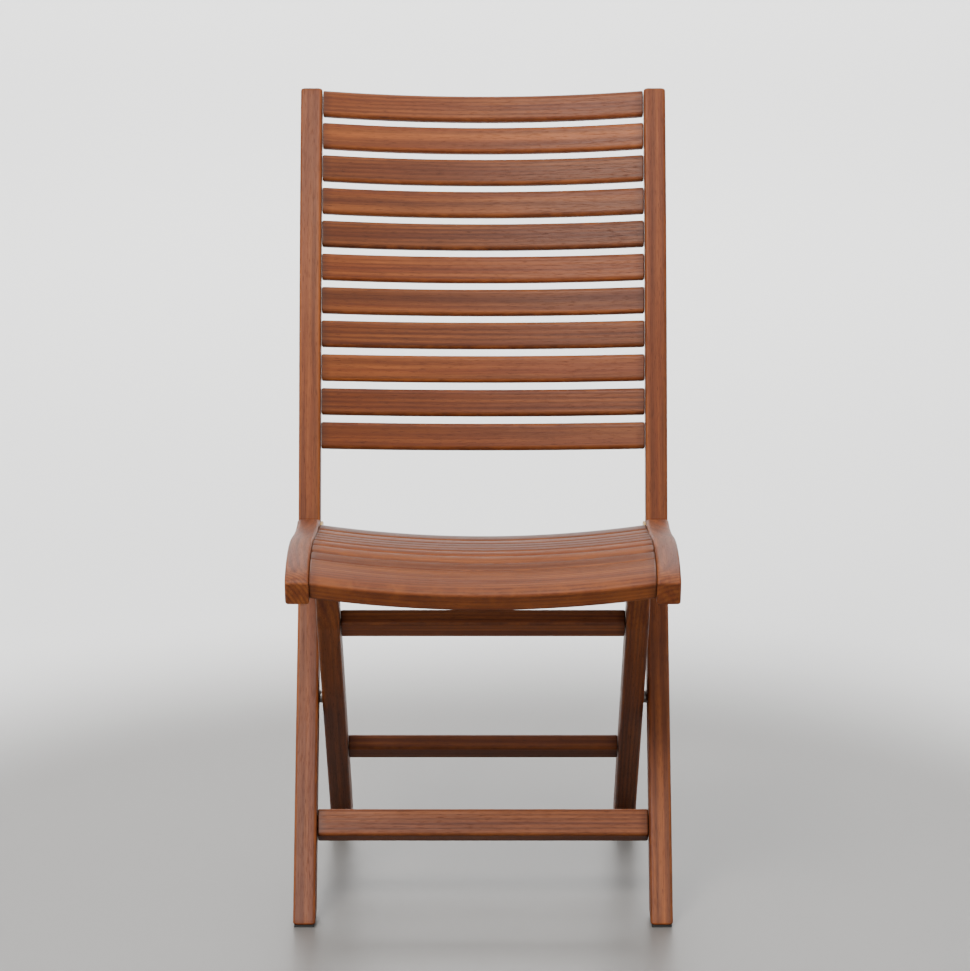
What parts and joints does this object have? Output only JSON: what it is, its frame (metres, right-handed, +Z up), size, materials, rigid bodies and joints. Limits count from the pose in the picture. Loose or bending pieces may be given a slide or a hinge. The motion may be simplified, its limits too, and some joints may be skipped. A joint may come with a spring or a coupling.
{
  "type": "folding chair",
  "caption": "High-backed slatted wooden folding chair; the seat swings up against the back and the rear legs fold with it.",
  "frame": {"origin": "on the floor, under the middle of the chair's bounding box", "axes": "+Z up, the seat's front faces -Y, +X to the right as seen from the front; the YZ plane is the plane of symmetry"},
  "size_m": [0.457, 0.628, 0.9486],
  "materials": {
    "oiled_wood": "oiled, satin, reddish brown, fine straight grain",
    "plug_wood": "oiled end grain, darker",
    "steel": "satin zinc plated",
    "brass": "dulled, brushed",
    "glide_plastic": "matt, scuffed"
  },
  "bodies": {
    "back_frame": {"left_upright": "oiled_wood", "right_upright": "oiled_wood", "back_slat_1": "oiled_wood", "back_slat_2": "oiled_wood", "back_slat_3": "oiled_wood", "back_slat_4": "oiled_wood", "back_slat_5": "oiled_wood", "back_slat_6": "oiled_wood", "back_slat_7": "oiled_wood", "back_slat_8": "oiled_wood", "back_slat_9": "oiled_wood", "back_slat_10": "oiled_wood", "back_slat_11": "oiled_wood", "front_stretcher": "oiled_wood", "left_stretcher_plug": "plug_wood", "right_stretcher_plug": "plug_wood", "pivot_bolt_left": "steel", "pivot_bolt_right": "steel", "pivot_washer_left": "steel", "pivot_washer_right": "steel", "hinge_plate_left": "brass", "hinge_plate_right": "brass", "hinge_pin_left": "steel", "hinge_pin_right": "steel", "hinge_screw_left_1": "brass", "hinge_screw_left_2": "brass", "hinge_screw_right_1": "brass", "hinge_screw_right_2": "brass", "front_glide_left": "glide_plastic", "front_glide_right": "glide_plastic"},
    "seat": {"seat_rail_left": "oiled_wood", "seat_rail_right": "oiled_wood", "seat_front_slat": "oiled_wood", "seat_slat_1": "oiled_wood", "seat_slat_2": "oiled_wood", "seat_slat_3": "oiled_wood", "seat_slat_4": "oiled_wood", "seat_slat_5": "oiled_wood", "seat_slat_6": "oiled_wood", "seat_slat_7": "oiled_wood", "seat_slat_8": "oiled_wood"},
    "rear_legs": {"rear_leg_left": "oiled_wood", "rear_leg_right": "oiled_wood", "rear_upper_stretcher": "oiled_wood", "rear_lower_stretcher": "oiled_wood", "rear_upper_plug_left": "plug_wood", "rear_upper_plug_right": "plug_wood", "rear_lower_plug_left": "plug_wood", "rear_lower_plug_right": "plug_wood", "pivot_nut_left": "steel", "pivot_nut_right": "steel", "slide_pin_left": "steel", "slide_pin_right": "steel", "rear_glide_left": "glide_plastic", "rear_glide_right": "glide_plastic"}
  },
  "joints": [
    {"name": "seat_fold", "type": "hinge", "parent": "back_frame", "child": "seat", "pos_m": [0, 0.06597, 0.429], "axis": [-1, 0, 0], "range_deg": [0, 97]},
    {"name": "leg_fold", "type": "hinge", "parent": "back_frame", "child": "rear_legs", "pos_m": [0, -0.00205, 0.2363], "axis": [-1, 0, 0], "range_deg": [0, 61.67]}
  ],
  "couplings": [
    {"joint": "leg_fold", "follows": "seat_fold", "ratio": 0.63577}
  ]
}
